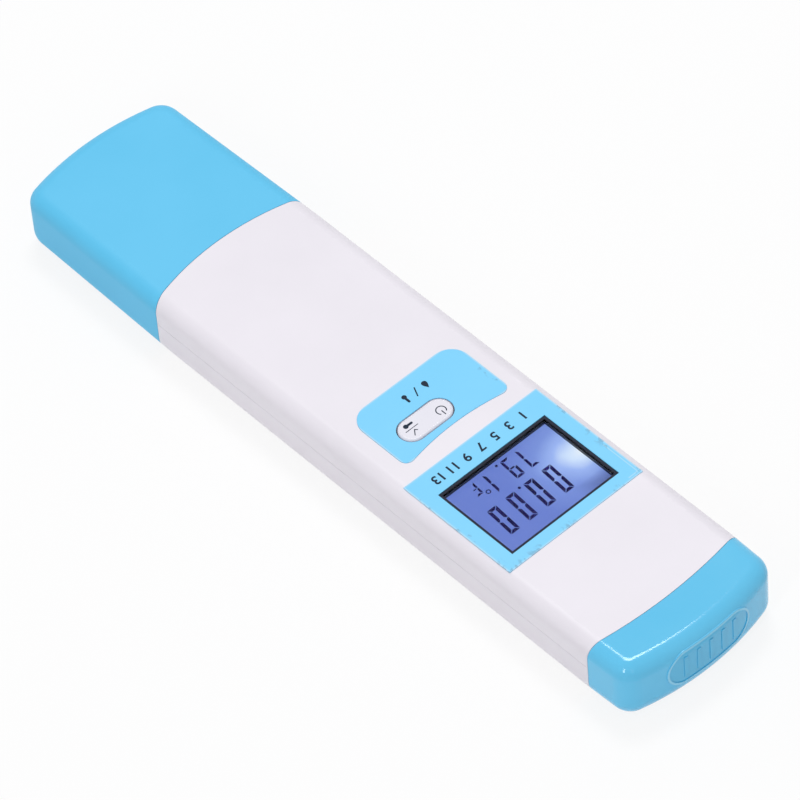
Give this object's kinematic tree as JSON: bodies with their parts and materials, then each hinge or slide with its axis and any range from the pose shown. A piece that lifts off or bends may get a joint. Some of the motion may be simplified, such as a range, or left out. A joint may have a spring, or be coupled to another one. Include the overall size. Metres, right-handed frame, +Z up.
{
  "type": "ph meter pen",
  "caption": "Flat pocket pH tester pen with a long push-on probe cap, a short battery cap, a lit display and one key, with the glass probe and works inside.",
  "frame": {"origin": "on the surface the pen lies on, under the middle of its overall box", "axes": "+X to the right of someone reading the display, +Y along the pen towards the battery cap, +Z up out of the display; the pen lies on its back"},
  "size_m": [0.04, 0.1808, 0.0154],
  "materials": {
    "white_case": "satin moulded",
    "matt_blue_cap": "fine spark-eroded texture",
    "gloss_blue_cap": "polished mould",
    "blue_film": "printed film",
    "clear_window": "clear acrylic",
    "black_plastic": "moulded",
    "display_glass": "polarised",
    "light_guide": "frosted",
    "contact_rubber": "striped",
    "green_board": "solder mask",
    "radio_can": "tin plate",
    "cream_plastic": "moulded",
    "steel": "turned",
    "key_plastic": "fine satin",
    "seal_rubber": "moulded",
    "cell_steel": "drawn can",
    "contact_metal": "plated strip",
    "grey_collar": "moulded",
    "clear_guard": "clear moulded",
    "electrode_glass": "blown glass",
    "silver": "coated wire",
    "lead_rubber": "sleeved",
    "sponge": "open-cell"
  },
  "bodies": {
    "housing": {"front_shell": "white_case", "rear_shell": "white_case", "display_label": "blue_film", "button_label": "blue_film", "display_lens": "clear_window", "display_bezel": "black_plastic", "lcd_glass": "display_glass", "backlight": "light_guide", "contact_strip": "contact_rubber", "main_board": "green_board", "controller_chip": "black_plastic", "radio_module": "radio_can", "probe_socket": "cream_plastic", "board_screws": "steel", "tact_switch": "black_plastic", "battery_holder": "black_plastic", "button_cells": "cell_steel", "battery_spring": "contact_metal", "battery_plate": "contact_metal", "battery_gasket": "seal_rubber", "probe_collar": "grey_collar", "probe_seal_ring": "seal_rubber", "probe_guard": "clear_guard", "electrode_tube": "electrode_glass", "glass_bulb": "electrode_glass", "silver_wire": "silver", "reference_junction": "cream_plastic", "temperature_probe": "steel", "probe_leads": "lead_rubber"},
    "probe_cap": {"probe_cap": "matt_blue_cap", "soaking_sponge": "sponge"},
    "battery_cap": {"battery_cap": "gloss_blue_cap"},
    "key": {"button_key": "key_plastic", "button_seal": "seal_rubber", "switch_plunger": "cream_plastic"}
  },
  "joints": [
    {"name": "probe_cap_pull", "type": "slide", "parent": "housing", "child": "probe_cap", "axis": [0, -1, 0], "range_m": [0, 0.055]},
    {"name": "battery_cap_pull", "type": "slide", "parent": "housing", "child": "battery_cap", "axis": [0, 1, 0], "range_m": [0, 0.02]},
    {"name": "key_press", "type": "slide", "parent": "housing", "child": "key", "axis": [0, 0, -1], "range_m": [0, 0.00035], "stiffness_N_per_m": 4000}
  ]
}
